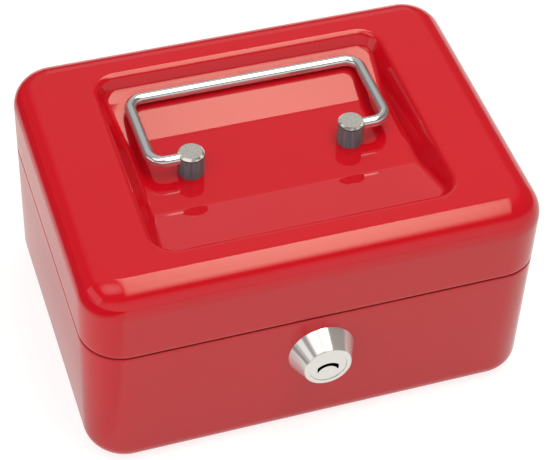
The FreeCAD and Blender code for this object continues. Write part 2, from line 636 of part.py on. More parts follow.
def make_cam():
    """Hooked locking cam on the plug's square drive, shown turned aside, with its washer and screw."""
    level = size("lock_height")
    foot = ("0", CAM_FRONT, level)
    hub = cylinder("cam_hub", "sizes.cam_hub_diameter / 2", size("cam_gauge"), foot, TO_BACK)
    arm_half = "sizes.cam_arm_width / 2"
    arm_low = ("0", CAM_FRONT, f"{level} - {arm_half}")
    arm_high = (size("cam_reach"), CAM_BACK, f"{level} + {arm_half}")
    arm = box("cam_arm", arm_low, arm_high)
    finger = box("cam_finger", ("sizes.cam_reach - sizes.cam_finger_width", CAM_FRONT, level),
                 (size("cam_reach"), CAM_BACK, f"{level} + {arm_half} + sizes.cam_finger_length"))
    half = "(sizes.plug_drive_width / 2 + sizes.plug_clearance)"
    square_low = (f"-{half}", CAM_FRONT, f"{level} - {half}")
    square_high = (half, CAM_BACK, f"{level} + {half}")
    square = box("cam_square", square_low, square_high)
    cam = cut("lock_cam", fuse("cam_plate", hub, arm, finger), square)
    washer_foot = ("0", CAM_BACK, level)
    gauge = size("cam_washer_gauge")
    disc = cylinder("cam_washer_disc", "sizes.cam_washer_diameter / 2", gauge, washer_foot, TO_BACK)
    hole = cylinder("cam_washer_hole", "sizes.cam_screw_diameter / 2 + sizes.screw_hole_clearance",
                    gauge, washer_foot, TO_BACK)
    head_front = f"({CAM_BACK} + sizes.cam_washer_gauge)"
    head = cylinder("cam_screw_pan", "sizes.cam_screw_head_diameter / 2", size("cam_screw_head_height"),
                    ("0", head_front, level), TO_BACK)
    crown = value_of(f"{head_front} + sizes.cam_screw_head_height")

    def crown_rim(limits):
        return abs(limits.YMin - crown) < NEAR and abs(limits.YMax - crown) < NEAR

    head = eased("Part::Chamfer", "cam_screw_head", head, "sizes.cam_screw_head_height / 3", crown_rim)
    shank_run = "sizes.cam_screw_grip + sizes.cam_washer_gauge"
    shank_foot = ("0", f"{CAM_BACK} - sizes.cam_screw_grip", level)
    shank = cylinder("cam_screw_shank", "sizes.cam_screw_diameter / 2", shank_run, shank_foot, TO_BACK)
    return [cam, cut("cam_washer", disc, hole), fuse("cam_screw", shank, head)]


def make_strike():
    """Bracket under the front of the lid whose hooked tongue takes the cam's finger."""
    finger_end = "(sizes.cam_arm_width / 2 + sizes.cam_finger_length + sizes.strike_clearance)"
    left = f"(-{finger_end} - sizes.strike_strip_width)"
    front = f"({CAM_FRONT} + (sizes.cam_gauge - sizes.strike_gauge) / 2)"
    back = f"({front} + sizes.strike_gauge)"
    lip_top = "(sizes.lock_height + sizes.cam_reach - sizes.cam_finger_width - sizes.strike_clearance)"
    lip_under = f"({lip_top} - sizes.strike_lip_height)"
    shelf_under = f"({RIM_TOP} + sizes.strike_rim_clearance)"
    shelf_top = f"({shelf_under} + sizes.strike_gauge)"
    wall = f"(-{HALF_DEPTH} + sizes.sheet_gauge)"
    right = size("strike_right_reach")
    strip = box("strike_strip", (left, front, lip_under), (f"-{finger_end}", back, shelf_top))
    lip_end = "-(sizes.cam_arm_width / 2 + sizes.strike_clearance)"
    lip = box("strike_lip", (left, front, lip_under), (lip_end, back, lip_top))
    shelf = box("strike_shelf", (left, wall, shelf_under), (right, back, shelf_top))
    flange_top = f"{shelf_under} + ({LID_WALL_TOP} - {shelf_under}) * sizes.strike_flange_share"
    flange_back = f"{wall} + sizes.strike_gauge"
    flange = box("strike_flange", (left, wall, shelf_under), (right, flange_back, flange_top))
    return fuse("lid_strike", strip, lip, shelf, flange)


def make_hinge_leaf(name, first_knuckle, up):
    """Hinge leaf: a strip on the inside of the back wall and every other knuckle of the barrel."""
    count = int(SIZES["hinge_knuckles"])
    pitch = f"({HINGE_LENGTH} / sizes.hinge_knuckles)"
    inner = f"({BACK_INNER} - sizes.hinge_leaf_gauge)"
    axis = size("seam_height")
    near = f"({BARREL_RADIUS} + sizes.knuckle_gap)"
    start = f"(-{HINGE_LENGTH} / 2)"
    far = f"(({LID_WALL_TOP} - {axis}) * sizes.hinge_leaf_share)"
    low, high = (f"{axis} + {near}", f"{axis} + {far}") if up else (f"{axis} - {far}", f"{axis} - {near}")
    forms = [box(f"{name}_strip", (start, inner, low), (f"{HINGE_LENGTH} / 2", BACK_INNER, high))]
    for number in range(first_knuckle, count, 2):
        knuckle_start = f"({start} + {number} * {pitch} + sizes.knuckle_gap / 2)"
        knuckle_end = f"({knuckle_start} + {pitch} - sizes.knuckle_gap)"
        neck_low, neck_high = (axis, low) if up else (high, axis)
        neck_end = (knuckle_end, BACK_INNER, neck_high)
        forms.append(box(f"{name}_neck_{number}", (knuckle_start, inner, neck_low), neck_end))
        forms.append(cylinder(f"{name}_knuckle_{number}", BARREL_RADIUS, f"{pitch} - sizes.knuckle_gap",
                              (knuckle_start, AXIS_BACK, axis), TO_RIGHT))
    bore = cylinder(f"{name}_bore", "sizes.hinge_pin_diameter / 2 + sizes.hinge_pin_clearance",
                    HINGE_LENGTH, (start, AXIS_BACK, axis), TO_RIGHT)
    return cut(name, fuse(f"{name}_form", *forms), bore)


def make_hinge_pin():
    """Straight pin through all knuckles."""
    return cylinder("hinge_pin", "sizes.hinge_pin_diameter / 2", HINGE_LENGTH,
                    (f"-{HINGE_LENGTH} / 2", AXIS_BACK, size("seam_height")), TO_RIGHT)


def make_tray():
    """Moulded coin tray that hangs on the rim by its two side flanges, with five scooped compartments."""
    wall = size("tray_wall")
    set_back = f"({RIM_INSET} + sizes.sheet_gauge + sizes.tray_side_clearance)"
    side = f"({HALF_WIDTH} - {set_back})"
    front = f"(-{HALF_DEPTH} + {set_back})"
    back = f"({HALF_DEPTH} - {set_back})"
    bottom = f"({RIM_TOP} - sizes.tray_drop)"
    top = f"({RIM_TOP} + sizes.tray_flange_gauge)"
    corner = f"(sizes.tray_scoop_radius + {wall})"
    block = box("tray_block", (f"-{side}", front, bottom), (side, back, top))
    block = eased("Part::Fillet", "tray_corners", block, corner, upright_edge)
    block = eased("Part::Fillet", "tray_foot", block, size("tray_bottom_radius"), level_edge(bottom))
    flange_side = f"({HALF_WIDTH} - {RIM_INSET} - sizes.tray_flange_set_in)"
    flange_end = "(sizes.tray_flange_length / 2)"
    flange = box("tray_flange_plate", (f"-{flange_side}", f"-{flange_end}", RIM_TOP), (flange_side, flange_end, top))
    flange = eased("Part::Fillet", "tray_flange", flange, size("tray_flange_round"), upright_edge)
    middle = "(sizes.tray_middle_width / 2)"
    screw_back = f"{CAM_BACK} + sizes.cam_washer_gauge + sizes.cam_screw_head_height"
    lock_room = f"({screw_back} + sizes.tray_lock_clearance)"
    outer_column = (f"{middle} + {wall}", f"{side} - {wall}")
    front_row = (f"{front} + {wall}", f"sizes.tray_split - {wall} / 2")
    back_row = (f"sizes.tray_split + {wall} / 2", f"{back} - {wall}")
    spaces = [("middle", (f"-{middle}", middle), (f"{lock_room} + {wall}", f"{back} - {wall}"))]
    for row_name, row in (("front", front_row), ("back", back_row)):
        spaces.append((f"right_{row_name}", outer_column, row))
        spaces.append((f"left_{row_name}", (f"-({outer_column[1]})", f"-({outer_column[0]})"), row))
    tools = []
    for name, across, along in spaces:
        low = (across[0], along[0], f"{bottom} + {wall}")
        high = (across[1], along[1], f"{top} + sizes.tray_scoop_radius + {OVER}")
        scoop = box(f"tray_space_{name}", low, high)
        floor = value_of(low[2])
        tools.append(eased("Part::Fillet", f"tray_scoop_{name}", scoop, size("tray_scoop_radius"),
                           lambda limits, floor=floor: limits.ZMin < floor + NEAR))
    room_low = (f"-{middle}", f"-{HALF_DEPTH}", f"{bottom} - {OVER}")
    room_high = (middle, lock_room, f"{top} + {OVER}")
    tools.append(box("tray_lock_room", room_low, room_high))
    return cut("coin_tray", fuse("tray_form", block, flange), *tools)


pieces = [
    make_base_shell(),
    make_lid_shell(),
    make_hinge_leaf("hinge_leaf_base", 0, False),
    make_hinge_leaf("hinge_leaf_lid", 1, True),
    make_hinge_pin(),
    make_handle(),
    *[make_post(side, sign) for side, sign in SIDES],
    *make_post_fixings(),
    make_lock_housing(),
    make_lock_plug(),
    *make_lock_fixings(),
    *make_cam(),
    make_strike(),
    make_tray(),
]
doc.recompute()

failed = [thing.Label for thing in doc.Objects if {"Invalid", "Error"} & set(thing.State)]
if failed:
    raise RuntimeError(f"not built: {failed}")
for piece in pieces:
    if piece.Shape.isNull() or not piece.Shape.isValid():
        raise RuntimeError(f"no sound solid: {piece.Label}")

os.makedirs("parts", exist_ok=True)
for piece in pieces:
    piece.Shape.exportStep(f"parts/{piece.Label}.step")
    limits = piece.Shape.optimalBoundingBox()
    print(piece.Label, len(piece.Shape.Solids), round(piece.Shape.Volume, 1), limits)
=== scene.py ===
"""Looks of a small lockable cash box: smooth painted shells, chromed wire handle, lock and inner fittings."""

import logging
import math
from dataclasses import dataclass, field
from enum import Enum

import bpy
import numpy as np
from mathutils import Matrix, Vector


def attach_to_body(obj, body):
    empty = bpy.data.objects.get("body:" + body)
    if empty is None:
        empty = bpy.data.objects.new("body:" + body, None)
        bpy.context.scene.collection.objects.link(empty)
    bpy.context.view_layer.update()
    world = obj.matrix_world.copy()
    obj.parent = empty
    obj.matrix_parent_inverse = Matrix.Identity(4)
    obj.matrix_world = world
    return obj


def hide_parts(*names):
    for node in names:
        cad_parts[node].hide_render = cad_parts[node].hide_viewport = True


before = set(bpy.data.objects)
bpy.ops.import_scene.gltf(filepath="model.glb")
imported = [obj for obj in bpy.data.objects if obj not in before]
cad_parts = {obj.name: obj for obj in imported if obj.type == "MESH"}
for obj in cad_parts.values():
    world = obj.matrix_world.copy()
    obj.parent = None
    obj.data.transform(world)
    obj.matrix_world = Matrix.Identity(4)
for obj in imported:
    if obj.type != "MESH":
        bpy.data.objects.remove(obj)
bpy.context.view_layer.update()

LOG = logging.getLogger("cash_box")
MM = 0.001
EDGE_MARK = "edge"
CREASE_DEGREES = 32.0
Array = np.ndarray
Pair = tuple[float, float]
Triple = tuple[float, float, float]
Socket = bpy.types.NodeSocket
Piece = bpy.types.Object


class Slot(Enum):
    """The record's material slots."""

    PAINT = "red_paint"
    HANDLE = "handle_chrome"
    POST = "post_nickel"
    LOCK = "lock_chrome"
    ZINC = "zinc_steel"
    TRAY = "tray_plastic"


class Body(Enum):
    """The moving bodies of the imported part."""

    BASE = "base"
    LID = "lid"
    HANDLE = "handle"


class Fade(Enum):
    """Where a lamp's face darkens."""

    NONE = "even"
    EDGES = "towards all edges"
    FRONT = "towards its sides and its lower edge"


class Nodes:
    """A node tree, with short calls for adding and joining nodes."""

    def __init__(self, tree: bpy.types.NodeTree) -> None:
        """Take a tree.

        Args:
            tree: The tree of a material, a lamp or the world.
        """
        self.tree = tree

    def add(self, kind: str, **sockets: object) -> bpy.types.Node:
        """Add a node and set or link its inputs.

        Args:
            kind: Blender's name of the node type.
            sockets: Input values or output sockets, by input name with spaces as underscores.

        Returns:
            The new node.
        """
        node = self.tree.nodes.new(kind)
        for name, value in sockets.items():
            self.feed(node.inputs[name.replace("_", " ")], value)
        return node

    def feed(self, socket: Socket, value: object) -> None:
        """Link an output to an input, or set the input's own value.

        Args:
            socket: The input.
            value: An output socket, a number, a vector or a colour.
        """
        if isinstance(value, Socket):
            self.tree.links.new(value, socket)
        elif socket.type == "RGBA" and len(value) == 3:
            socket.default_value = (*value, 1.0)
        else:
            socket.default_value = value

    def maths(self, kind: str, first: object, second: object) -> Socket:
        """Work out a product, a difference or another result of two values.

        Args:
            kind: Blender's name of the operation.
            first: Number or output socket.
            second: Number or output socket.

        Returns:
            The result.
        """
        node = self.tree.nodes.new("ShaderNodeMath")
        node.operation = kind
        self.feed(node.inputs[0], first)
        self.feed(node.inputs[1], second)
        return node.outputs[0]

    def spread(self, value: Socket, span: Pair,
               result: Pair = (0.0, 1.0), smooth: bool = False) -> Socket:
        """Carry a span of values to another, held at its ends.

        Args:
            value: The value.
            span: Values at which the span starts and ends.
            result: Results at its start and at its end.
            smooth: Whether the result eases in and out.

        Returns:
            The carried value.
        """
        node = self.add("ShaderNodeMapRange", Value=value, From_Min=span[0], From_Max=span[1],
                        To_Min=result[0], To_Max=result[1])
        node.interpolation_type = "SMOOTHSTEP" if smooth else "LINEAR"
        return node.outputs["Result"]

    def mixed(self, share: object, first: object, second: object, kind: str = "MIX") -> Socket:
        """Mix two colours.

        Args:
            share: Share of the second colour, a number or an output socket.
            first: Colour or output socket.
            second: Colour or output socket.
            kind: Blender's name of the way of mixing.

        Returns:
            The mixed colour.
        """
        node = self.tree.nodes.new("ShaderNodeMix")
        node.data_type = "RGBA"
        node.blend_type = kind
        colours = [socket for socket in node.inputs if socket.type == "RGBA"]
        self.feed(node.inputs["Factor"], share)
        self.feed(colours[0], first)
        self.feed(colours[1], second)
        return next(socket for socket in node.outputs if socket.type == "RGBA")


class Graph(Nodes):
    """A material's node tree with one Principled shader.

    Attributes:
        noise_middle: Values carried to the ends of a range.
        step_length: Length of a step in millimetres.
    """

    noise_middle: Pair = (0.3, 0.7)
    step_length: float = 0.03

    def __init__(self, name: str) -> None:
        """Start a material.

        Args:
            name: The material's name.
        """
        self.material: bpy.types.Material = bpy.data.materials.new(name)
        self.material.use_nodes = True
        super().__init__(self.material.node_tree)
        self.shader: bpy.types.Node = self.tree.nodes["Principled BSDF"]
        self.place: Socket = self.add("ShaderNodeTexCoord").outputs["Object"]

    def noise(self, grain: float, detail: float = 2.0,
              stretch: Triple = (1.0, 1.0, 1.0)) -> Socket:
        """Noise with grains of a given size, in the object's own space.

        Args:
            grain: Size of one grain in millimetres.
            detail: Octaves of finer noise.
            stretch: How much finer the grain is along each axis.

        Returns:
            The noise value, about 0 to 1.
        """
        mapped = self.add("ShaderNodeMapping", Vector=self.place, Scale=stretch).outputs["Vector"]
        node = self.add("ShaderNodeTexNoise", Vector=mapped, Scale=1.0 / (grain * MM), Detail=detail)
        return node.outputs["Fac"]

    def ranged(self, value: Socket, low: float, high: float) -> Socket:
        """Carry the middle of a noise or step to a range.

        Args:
            value: Noise or step of about 0 to 1.
            low: The result where the value is low.
            high: The result where it is high.

        Returns:
            The carried value.
        """
        return self.spread(value, self.noise_middle, (low, high))

    def above(self, place: Socket, level: float) -> Socket:
        """A step from 0 to 1 where a place passes a level.

        Args:
            place: A coordinate or distance in the object's own space.
            level: The level in millimetres.

        Returns:
            The step's value.
        """
        return self.spread(place, (level * MM, (level + self.step_length) * MM))

    def axis(self, name: str) -> Socket:
        """One coordinate in the object's own space.

        Args:
            name: X, Y or Z.

        Returns:
            The coordinate in metres.
        """
        return self.add("ShaderNodeSeparateXYZ", Vector=self.place).outputs[name]

    def bump(self, height: Socket, rise: float) -> None:
        """Give the shader a fine relief.

        Args:
            height: Relief of about 0 to 1.
            rise: Height of the relief in millimetres.
        """
        node = self.add("ShaderNodeBump", Height=height, Strength=1.0, Distance=rise * MM)
        self.feed(self.shader.inputs["Normal"], node.outputs["Normal"])


@dataclass(frozen=True)
class Finish:
    """A surface finish: colour range, gloss range and fine relief.

    Attributes:
        name: The material's name.
        slot: The record's slot that it finishes; not used by the script.
        colour: Main colour, linear.
        second: Colour that it drifts to.
        drift: Size of the colour drift in millimetres.
        gloss: Lowest and highest roughness.
        grain: Size of the relief in millimetres.
        rise: Height of the relief in millimetres.
        stretch: How much finer the relief is along each axis.
        metallic: 1 for bare metal.
    """

    name: str
    slot: Slot
    colour: Triple
    second: Triple
    drift: float
    gloss: Pair
    grain: float
    rise: float
    stretch: Triple = (1.0, 1.0, 1.0)
    metallic: float = 0.0

    def material(self) -> bpy.types.Material:
        """Make the finish's material.

        Returns:
            A procedural material.
        """
        graph = Graph(self.name)
        drift = graph.noise(self.drift, detail=3.0)
        relief = graph.noise(self.grain, stretch=self.stretch)
        graph.feed(graph.shader.inputs["Base Color"], graph.mixed(drift, self.colour, self.second))
        graph.feed(graph.shader.inputs["Roughness"], graph.ranged(relief, *self.gloss))
        graph.shader.inputs["Metallic"].default_value = self.metallic
        graph.bump(relief, self.rise)
        self.add_wear_and_painted_light(graph)
        return graph.material

    def add_wear_and_painted_light(self, graph: Graph) -> None:
        """Add what use leaves on the finish, and painted light and shade; a plain finish has none.

        Args:
            graph: The material's node tree.
        """


@dataclass(frozen=True)
class Enamel(Finish):
    """Glossy stoved paint, a little paler along bent edges, and dull and darker in the joint of lid and base
    with dust and painted shade.

    Attributes:
        edge: Colour of the thin paint on an edge.
        edge_share: Share of that colour on the edge itself.
        joint: Lowest and highest level of the joint in millimetres.
        dust_and_shade: Colour of the dust and painted shade in the joint.
        dust_and_shade_share: Share of that colour.
        dust_gloss: Roughness of the dusty paint.
    """

    edge: Triple = (0.75, 0.12, 0.12)
    edge_share: float = 0.10
    joint: Pair = (52.2, 53.0)
    dust_and_shade: Triple = (0.10, 0.010, 0.012)
    dust_and_shade_share: float = 0.5
    dust_gloss: float = 0.9

    def add_wear_and_painted_light(self, graph: Graph) -> None:
        """Lighten the edges that the mesh marks, and dull the joint and darken it with dust and painted
        shade.

        Args:
            graph: The material's node tree.
        """
        colour = graph.shader.inputs["Base Color"]
        gloss = graph.shader.inputs["Roughness"]
        mark = graph.tree.nodes.new("ShaderNodeAttribute")
        mark.attribute_name = EDGE_MARK
        thin = graph.maths("MULTIPLY", mark.outputs["Fac"], self.edge_share)
        worn = graph.mixed(thin, colour.links[0].from_socket, self.edge)
        height = graph.axis("Z")
        inside = graph.maths("SUBTRACT", *(graph.above(height, level) for level in self.joint))
        # Dust and painted shade darken the joint between lid and base.
        graph.feed(colour, graph.mixed(inside, worn, graph.mixed(self.dust_and_shade_share, worn, self.dust_and_shade)))
        rough = graph.ranged(inside, 0.0, self.dust_gloss)
        graph.feed(gloss, graph.maths("MAXIMUM", gloss.links[0].from_socket, rough))


@dataclass(frozen=True)
class PaintedLightPostPlating(Finish):
    """Plating with upright streaks on its sides, painted highlights on the bevel over a painted line of
    shade, and a speckled top painted lighter than the sides as if lit from above.

    Attributes:
        streak: Colour of the bright streaks.
        streak_width: Width of a streak in millimetres.
        streak_stretch: How much finer the streaks are along each axis.
        streak_share: Share of that colour in the middle of a streak.
        shade_line: Colour of the painted line of shade under the bevel.
        bevel: Colour of the painted highlights on the bevel.
        bevel_shade: Colour of its dull places.
        bevel_patch: Size of such a place in millimetres.
        bevel_contrast: Share of the bright colour where the patches are low and high.
        top: Colour of the top face, painted lighter than the sides as if lit from above.
        speckle: Colour of the top's speckles.
        speckle_size: Size of a speckle in millimetres.
        level: Height in millimetres at which the bevel begins.
        shade_line_height: Height of the painted line of shade in millimetres.
        rise_to_top: Height of the bevel in millimetres.
    """

    streak: Triple = (0.19, 0.30, 0.33)
    streak_width: float = 0.9
    streak_stretch: Triple = (1.0, 1.0, 0.06)
    streak_share: float = 0.7
    shade_line: Triple = (0.05, 0.055, 0.06)
    bevel: Triple = (0.85, 0.84, 0.84)
    bevel_shade: Triple = (0.20, 0.21, 0.22)
    bevel_patch: float = 2.4
    bevel_contrast: Pair = (-0.6, 1.6)
    top: Triple = (0.51, 0.50, 0.51)
    speckle: Triple = (0.2295, 0.225, 0.2295)
    speckle_size: float = 0.45
    level: float = 78.4
    shade_line_height: float = 0.5
    rise_to_top: float = 0.75

    def add_wear_and_painted_light(self, graph: Graph) -> None:
        """Draw the streaks, the painted line of shade, the painted highlights on the bevel and the top,
        painted lighter as if lit from above.

        Args:
            graph: The material's node tree.
        """
        socket = graph.shader.inputs["Base Color"]
        height = graph.axis("Z")
        lines = graph.noise(self.streak_width, 1.0, self.streak_stretch)
        lines = graph.ranged(lines, 0.0, self.streak_share)
        sides = graph.mixed(lines, socket.links[0].from_socket, self.streak)
        patches = graph.ranged(graph.noise(self.bevel_patch, 1.0), *self.bevel_contrast)
        speckles = graph.ranged(graph.noise(self.speckle_size, 3.0), 0.0, 1.0)
        # Painted light: a dark line of painted shade under the bevel, painted highlights on the bevel, and a
        # top painted lighter than the sides.
        bands = (
            (self.level - self.shade_line_height, self.shade_line),
            (self.level, graph.mixed(patches, self.bevel_shade, self.bevel)),
            (self.level + self.rise_to_top, graph.mixed(speckles, self.top, self.speckle)),
        )
        colour = sides
        for level, band in bands:
            colour = graph.mixed(graph.above(height, level), colour, band)
        graph.feed(socket, colour)


@dataclass(frozen=True)
class LockPlate(Finish):
    """Polished plating with painted shade, near black, in the keyway and in the gap round the plug.

    Attributes:
        hollow_shade: Colour of the painted shade inside the keyway and the gap.
        axis_height: Height of the lock's axis in millimetres.
        radius: Distance from the axis within which the painted shade holds.
        behind: Depth range of the painted shade, along Y in millimetres.
    """

    hollow_shade: Triple = (0.004, 0.004, 0.004)
    axis_height: float = 36.0
    radius: float = 6.6
    behind: Pair = (-63.92, -51.9)

    def add_wear_and_painted_light(self, graph: Graph) -> None:
        """Paint shade on the places behind the lock's face.

        Args:
            graph: The material's node tree.
        """
        socket = graph.shader.inputs["Base Color"]
        plated = socket.links[0].from_socket
        place = graph.add("ShaderNodeSeparateXYZ", Vector=graph.place)
        offset = graph.add("ShaderNodeCombineXYZ", X=place.outputs["X"], Z=place.outputs["Z"])
        reach = graph.add("ShaderNodeVectorMath")
        reach.operation = "DISTANCE"
        graph.feed(reach.inputs[0], offset.outputs["Vector"])
        reach.inputs[1].default_value = (0.0, 0.0, self.axis_height * MM)
        outside = graph.above(reach.outputs["Value"], self.radius)
        front, back = (graph.above(place.outputs["Y"], level) for level in self.behind)
        # Painted shade: the keyway and the gap round the plug are coloured near black.
        hollow_shade = graph.mixed(back, graph.mixed(front, plated, self.hollow_shade), plated)
        graph.feed(socket, graph.mixed(outside, hollow_shade, plated))


RED = Enamel(
    "red_enamel", Slot.PAINT, colour=(0.568, 0.0036, 0.0135), second=(0.538, 0.0030, 0.0115), drift=30.0,
    gloss=(0.03, 0.05), grain=2.2, rise=0.0002)
CHROME = Finish(
    "bright_chrome", Slot.HANDLE, colour=(0.74, 0.74, 0.75), second=(0.66, 0.66, 0.68), drift=9.0,
    gloss=(0.03, 0.07), grain=3.0, rise=0.0002, metallic=0.88)
# The posts' blue-green colour is a painted tint that cancels the red light the paint throws onto their sides.
NICKEL = PaintedLightPostPlating(
    "satin_nickel", Slot.POST, colour=(0.125, 0.215, 0.255), second=(0.060, 0.118, 0.140), drift=0.6,
    gloss=(0.26, 0.40), grain=0.5, rise=0.003, stretch=(1.0, 1.0, 0.1), metallic=0.1)
LOCK_CHROME = LockPlate(
    "lock_chrome", Slot.LOCK, colour=(0.82, 0.81, 0.81), second=(0.74, 0.74, 0.75), drift=5.0,
    gloss=(0.10, 0.16), grain=1.5, rise=0.0004, metallic=0.65)
ZINC = Finish(
    "zinc_plate", Slot.ZINC, colour=(0.62, 0.63, 0.66), second=(0.50, 0.51, 0.50), drift=4.0,
    gloss=(0.22, 0.38), grain=0.6, rise=0.004, metallic=1.0)
PLASTIC = Finish(
    "tray_plastic", Slot.TRAY, colour=(0.022, 0.022, 0.024), second=(0.030, 0.030, 0.032), drift=18.0,
    gloss=(0.36, 0.50), grain=0.25, rise=0.010)


@dataclass
class Columns:
    """Places round a rounded rectangle: a share of the straight part and a direction in the corner.

    Attributes:
        corner_steps: Steps in each corner.
        straight_steps: Steps along the front and the back.
        side_places: Shares of the half side at which the left and the right have columns.
        notch_turn: Angle from the back, in degrees, at which the hinge gap ends.
        slack: Rounding that comparisons allow.
        straight: Share of the straight half-lengths, by column and axis.
        corner: Direction in the corner, by column and axis.
        runs: Column numbers of each corner and of the straight after it.
    """

    corner_steps: int = 18
    straight_steps: int = 16
    side_places: tuple[float, ...] = (
        0.0, 0.2, 0.38, 0.461, 0.473, 0.485, 0.497, 0.509, 0.521, 0.533, 0.6, 0.8)
    notch_turn: float = 30.47
    slack: float = 1e-6
    straight: Array = field(init=False)
    corner: Array = field(init=False)
    runs: list[tuple[Array, Array]] = field(init=False)

    def __post_init__(self) -> None:
        """Work out the columns, anticlockwise from the back end of the right side."""
        straights: list[Array] = []
        corners: list[Array] = []
        self.runs = []
        count = 0
        along_side = np.unique(np.append(self.side_places, -np.array(self.side_places)))
        shares = (np.linspace(0.0, 1.0, self.straight_steps + 1)[1:-1, None], (1 + along_side[:, None]) / 2)
        signs = ((1, 1), (-1, 1), (-1, -1), (1, -1))
        for quarter, sign in enumerate(signs):
            turn = np.linspace(0.0, 90.0, self.corner_steps + 1)
            gap_end = 90.0 - self.notch_turn if quarter == 0 else self.notch_turn
            # Only the back corners have an end of the hinge gap.
            turn = np.unique(np.append(turn, gap_end)) if quarter < 2 else turn
            angle = np.radians(turn + 90.0 * quarter)
            straights.append(np.tile(np.array(sign, float), (len(angle), 1)))
            corners.append(np.stack([np.cos(angle), np.sin(angle)], 1))
            share = shares[quarter % 2]
            after = np.array(signs[(quarter + 1) % 4], float)
            straights.append((1 - share) * np.array(sign, float) + share * after)
            corners.append(np.tile(corners[-1][-1], (len(share), 1)))
            middle = count + len(angle)
            end = middle + len(share)
            self.runs.append((np.arange(count, middle), np.arange(middle, end)))
            count = end
        self.straight = np.concatenate(straights)
        self.corner = np.concatenate(corners)

    def in_notch(self) -> Array:
        """Which cells lie between the two ends of the hinge gap.

        Returns:
            One truth value for each cell round the outline.
        """
        reach = self.corner[:, 1] - math.cos(math.radians(self.notch_turn)) > -self.slack
        behind = reach & (self.straight[:, 1] > 1.0 - self.slack)
        return behind & np.roll(behind, -1)

    def lattice(self) -> Array:
        """Column numbers round the edge of a grid that fills the outline, with -1 inside it.

        Its rows run from left to right, from the front row to the back row.

        Returns:
            Column numbers, by row and place along the row.
        """
        (back_right, back), (back_left, left), (front_left, front), (front_right, right) = self.runs
        right_chain = np.concatenate([front_right, right, back_right])
        left_chain = np.concatenate([back_left, left, front_left])[::-1]
        grid = np.full((len(right_chain), self.straight_steps + 1), -1)
        grid[0, 1:-1] = front
        grid[-1, 1:-1] = back[::-1]
        grid[:, 0] = left_chain
        grid[:, -1] = right_chain
        return grid


def placed(name: str, data: bpy.types.ID) -> Piece:
    """Put an object into the scene.

    Args:
        name: The object's name.
        data: Its mesh, lamp or camera.

    Returns:
        The object, at the origin.
    """
    piece = bpy.data.objects.new(name, data)
    bpy.context.scene.collection.objects.link(piece)
    return piece


class Mesh:
    """Makes Blender pieces from arrays of points and faces."""

    @staticmethod
    def piece(name: str, points: Array, faces: Array, marks: Array | None = None) -> Piece:
        """Make a smooth-shaded piece with sharp creases.

        Args:
            name: The piece's name.
            points: Points in millimetres.
            faces: Four corners of each face.
            marks: How much of an edge each point is, 0 to 1.

        Returns:
            The piece, at the origin.
        """
        mesh = bpy.data.meshes.new(name)
        corners = [list(dict.fromkeys(face)) for face in faces.tolist()]
        mesh.from_pydata((points * MM).tolist(), [], [face for face in corners if len(face) > 2])
        if marks is not None:
            layer = mesh.attributes.new(EDGE_MARK, "FLOAT", "POINT")
            layer.data.foreach_set("value", marks.astype(np.float32))
        mesh.validate()
        mesh.shade_smooth()
        mesh.set_sharp_from_angle(angle=math.radians(CREASE_DEGREES))
        return placed(name, mesh)

    @staticmethod
    def cells(rows: int, columns: int) -> Array:
        """Corner numbers of the cells of a grid that closes on itself round its columns.

        Args:
            rows: Rows of points.
            columns: Columns of points.

        Returns:
            Four corner numbers, by row, column and corner.
        """
        row, column = np.meshgrid(np.arange(rows - 1), np.arange(columns), indexing="ij")
        after = (column + 1) % columns
        return np.stack([row * columns + column, (row + 1) * columns + column,
                         (row + 1) * columns + after, row * columns + after], 2)


@dataclass
class ThickSheet:
    """Sheet metal as two grids of points with walls along its cut edges.

    Row 0 is the edge of the sheet's middle, which a lattice of points fills. The last row is its open edge.

    Attributes:
        name: The piece's name.
        top: Upper side, by row, column and axis.
        under: Lower side, row by row under the upper one.
        kept: Which cells are metal.
        edge: How much of an edge each row is, 0 to 1.
        lattice: Column numbers round the edge of the middle's grid, with -1 inside it.
        middle: Inner points of that grid on the upper and on the lower side.
    """

    name: str
    top: Array
    under: Array
    kept: Array
    edge: Array
    lattice: Array
    middle: list[Array]

    def build(self) -> Piece:
        """Make the sheet's mesh.

        Returns:
            The piece.
        """
        rows, columns = self.top.shape[:2]
        count = rows * columns
        cells = Mesh.cells(rows, columns)
        upper = cells[self.kept]
        lower = upper[:, ::-1] + count
        inside = self.lattice < 0
        fills: list[Array] = []
        for side in range(2):
            numbers = self.lattice + side * count
            numbers[inside] = 2 * count + side * inside.sum() + np.arange(inside.sum())
            corners = numbers[:-1, :-1], numbers[:-1, 1:], numbers[1:, 1:], numbers[1:, :-1]
            fill = np.stack(corners, 2).reshape(-1, 4)
            fills.append(fill[:, ::-1] if side else fill)
        # Each cell's outer edge, then its edges towards the next and the previous column.
        walls = [self.wall(cells, count, self.kept & ~near, first, second) for near, first, second in (
            (np.vstack([self.kept[1:], np.zeros((1, columns), bool)]), 1, 2),
            (np.roll(self.kept, -1, 1), 2, 3),
            (np.roll(self.kept, 1, 1), 0, 1))]
        points = np.concatenate([self.top.reshape(-1, 3), self.under.reshape(-1, 3), *self.middle])
        marks = np.append(np.tile(np.repeat(self.edge, columns), 2), np.zeros(2 * inside.sum()))
        return Mesh.piece(self.name, points, np.concatenate([upper, lower, *walls, *fills]), marks)

    @staticmethod
    def wall(cells: Array, count: int, where: Array, first: int, second: int) -> Array:
        """Faces from the upper to the lower side along one side of the chosen cells.

        Args:
            cells: Corner numbers of the upper side's cells.
            count: How far the lower side's numbers lie above the upper side's.
            where: The chosen cells.
            first: Corner at which that side starts.
            second: Corner at which it ends.

        Returns:
            Four corner numbers for each face.
        """
        start = cells[where][:, first]
        end = cells[where][:, second]
        return np.stack([end, start, start + count, end + count], 1)


